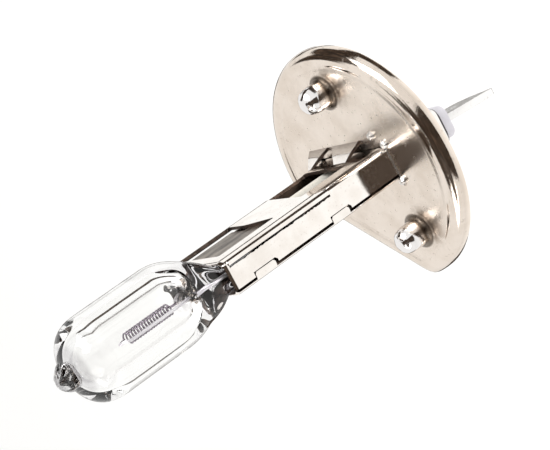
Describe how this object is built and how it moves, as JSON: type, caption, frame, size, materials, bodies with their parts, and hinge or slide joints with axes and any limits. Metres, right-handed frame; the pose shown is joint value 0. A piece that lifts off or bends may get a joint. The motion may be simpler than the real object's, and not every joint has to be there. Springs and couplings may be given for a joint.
{
  "type": "headlight bulb",
  "caption": "Halogen headlight bulb: clear quartz barrel over an axial coil, folded metal holder, round bossed flange with a flat, and a rear spade terminal.",
  "frame": {"origin": "on the lamp axis, in the front face of the flange", "axes": "+Z along the lamp axis towards the glass tip; X along the holder's wide direction and the terminal blade's width"},
  "size_m": [0.027, 0.0268, 0.0603],
  "materials": {
    "quartz": "clear fused quartz, glossy",
    "tungsten": "dark drawn tungsten",
    "molybdenum": "grey drawn molybdenum",
    "nickel_strip": "plain nickel strip",
    "spring_steel": "bright spring steel",
    "holder_plate": "bright nickel plate on folded sheet",
    "flange_plate": "bright nickel plate, warm, lightly rippled by pressing",
    "weld_metal": "bright resistance welds",
    "ceramic": "pale glazed ceramic",
    "potting": "pale mineral cement",
    "sleeving": "off-white insulating tube",
    "terminal_plate": "tin plate, satin"
  },
  "bodies": {
    "root": {"quartz_envelope": "quartz", "filament": "tungsten", "rear_lead": "molybdenum", "return_lead": "molybdenum", "foil_live": "molybdenum", "foil_ground": "molybdenum", "pin_live": "molybdenum", "pin_ground": "molybdenum", "live_strap": "nickel_strip", "ground_strap": "nickel_strip", "lead_sleeve": "sleeving", "pinch_spring_upper": "spring_steel", "pinch_spring_lower": "spring_steel", "holder_shell_upper": "holder_plate", "holder_shell_lower": "holder_plate", "base_disc": "flange_plate", "weld_beads": "weld_metal", "rear_collar": "flange_plate", "insulator": "ceramic", "cement": "potting", "terminal_blade": "terminal_plate"}
  },
  "joints": []
}
